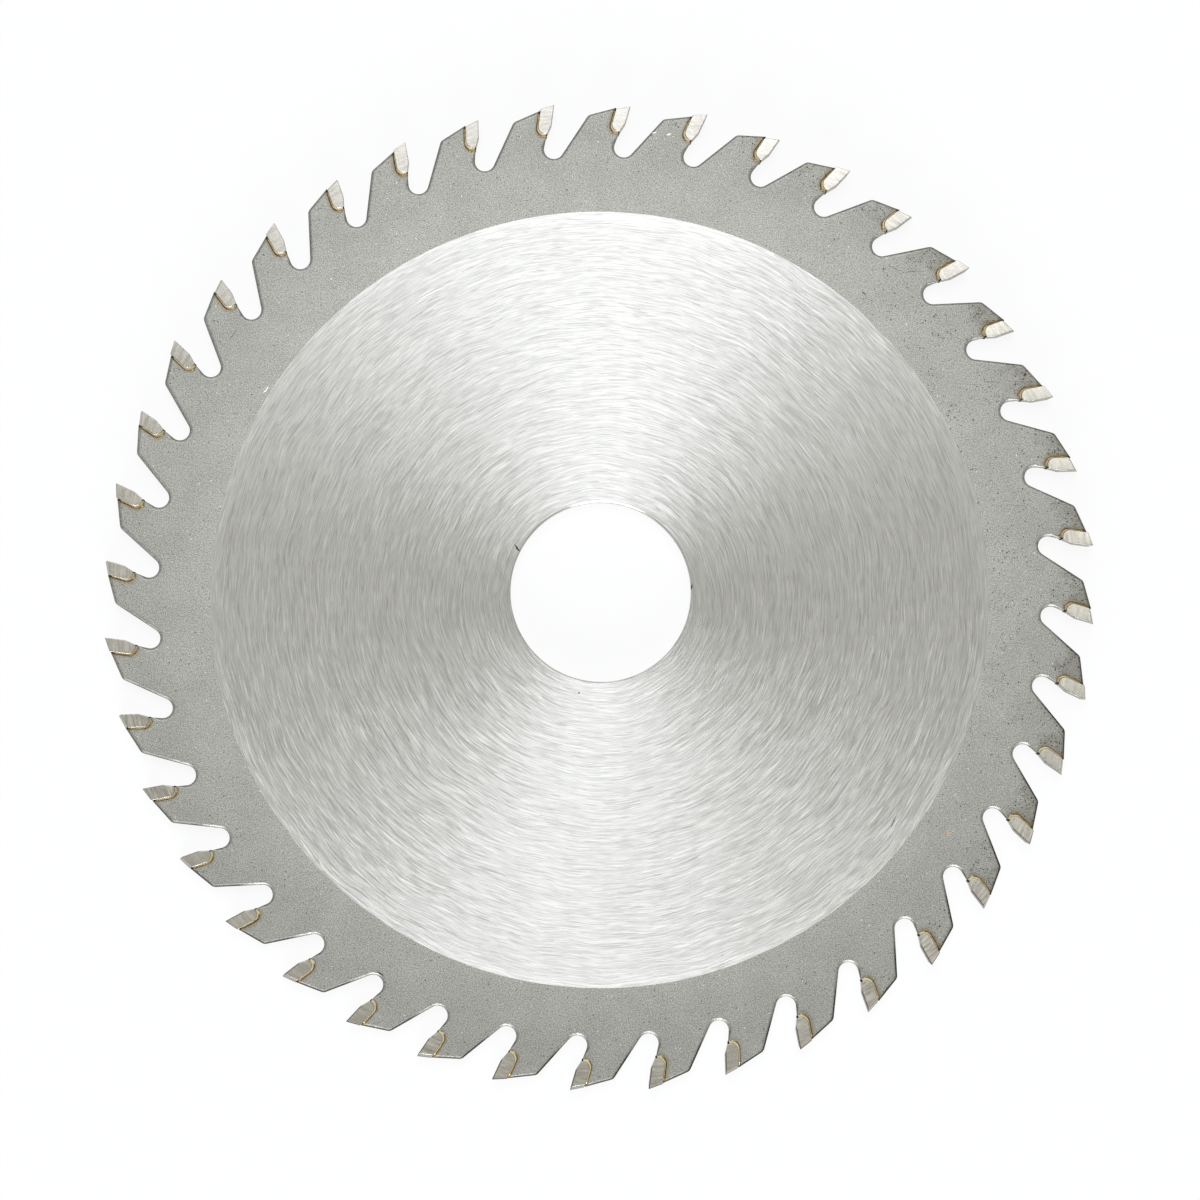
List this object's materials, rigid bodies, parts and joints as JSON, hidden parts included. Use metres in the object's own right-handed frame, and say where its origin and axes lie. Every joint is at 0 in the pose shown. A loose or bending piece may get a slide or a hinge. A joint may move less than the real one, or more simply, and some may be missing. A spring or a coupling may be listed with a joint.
{
  "type": "circular saw blade",
  "caption": "Thin round steel saw blade with a plain arbor bore and brazed carbide teeth whose tops bevel to alternate sides.",
  "frame": {"origin": "middle of the arbor bore, half-way through the plate", "axes": "+Z along the blade's axis, out of the face seen when the teeth cut clockwise; +Y through the point of tip_01; tips numbered clockwise seen from +Z"},
  "size_m": [0.11, 0.11, 0.0018],
  "materials": {
    "plate_steel": "concentric grinding marks on the middle, fine blasted matt on the rim",
    "carbide": "tungsten carbide, fine cross-ground, satin",
    "braze": "silver-brass brazing alloy, uneven, heat stained"
  },
  "bodies": {
    "root": {"saw_plate": "plate_steel", "braze_joints": "braze", "tip_01": "carbide", "tip_02": "carbide", "tip_03": "carbide", "tip_04": "carbide", "tip_05": "carbide", "tip_06": "carbide", "tip_07": "carbide", "tip_08": "carbide", "tip_09": "carbide", "tip_10": "carbide", "tip_11": "carbide", "tip_12": "carbide", "tip_13": "carbide", "tip_14": "carbide", "tip_15": "carbide", "tip_16": "carbide", "tip_17": "carbide", "tip_18": "carbide", "tip_19": "carbide", "tip_20": "carbide", "tip_21": "carbide", "tip_22": "carbide", "tip_23": "carbide", "tip_24": "carbide", "tip_25": "carbide", "tip_26": "carbide", "tip_27": "carbide", "tip_28": "carbide", "tip_29": "carbide", "tip_30": "carbide", "tip_31": "carbide", "tip_32": "carbide", "tip_33": "carbide", "tip_34": "carbide", "tip_35": "carbide", "tip_36": "carbide", "tip_37": "carbide", "tip_38": "carbide", "tip_39": "carbide", "tip_40": "carbide"}
  },
  "joints": []
}
